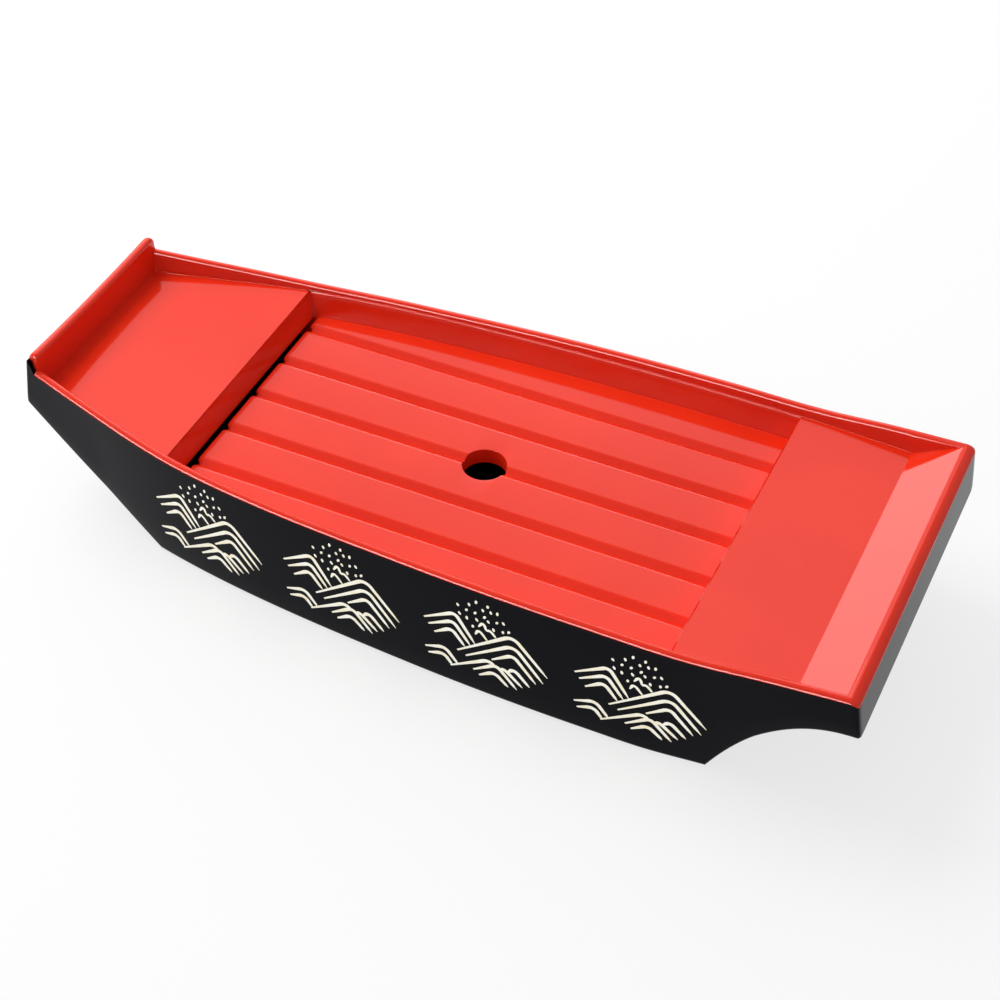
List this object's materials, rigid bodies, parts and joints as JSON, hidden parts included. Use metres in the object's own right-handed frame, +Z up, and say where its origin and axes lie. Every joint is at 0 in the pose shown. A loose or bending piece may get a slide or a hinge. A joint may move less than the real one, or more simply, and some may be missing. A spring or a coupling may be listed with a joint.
{
  "type": "sushi boat",
  "caption": "Flat-ended lacquered serving boat with a raised bow board, bow and stern decks, a curved rim and a slatted deck that lifts out of the well.",
  "frame": {"origin": "middle of the bounding box, on the flat of the bottom", "axes": "+X aft along the boat from bow to stern, +Y to the right hand looking from the stern to the bow, +Z up"},
  "size_m": [0.6112, 0.2502, 0.1225],
  "materials": {
    "black_lacquer": "gloss black lacquer with gold wave prints on the sides",
    "vermilion_lacquer": "gloss vermilion lacquer"
  },
  "bodies": {
    "boat": {"hull": "black_lacquer", "deck_tray": "vermilion_lacquer"},
    "grate": {"slatted_deck": "vermilion_lacquer"}
  },
  "joints": [
    {"name": "slatted_deck_lift", "type": "slide", "parent": "boat", "child": "grate", "axis": [0, 0, 1], "range_m": [0, 0.08]}
  ]
}
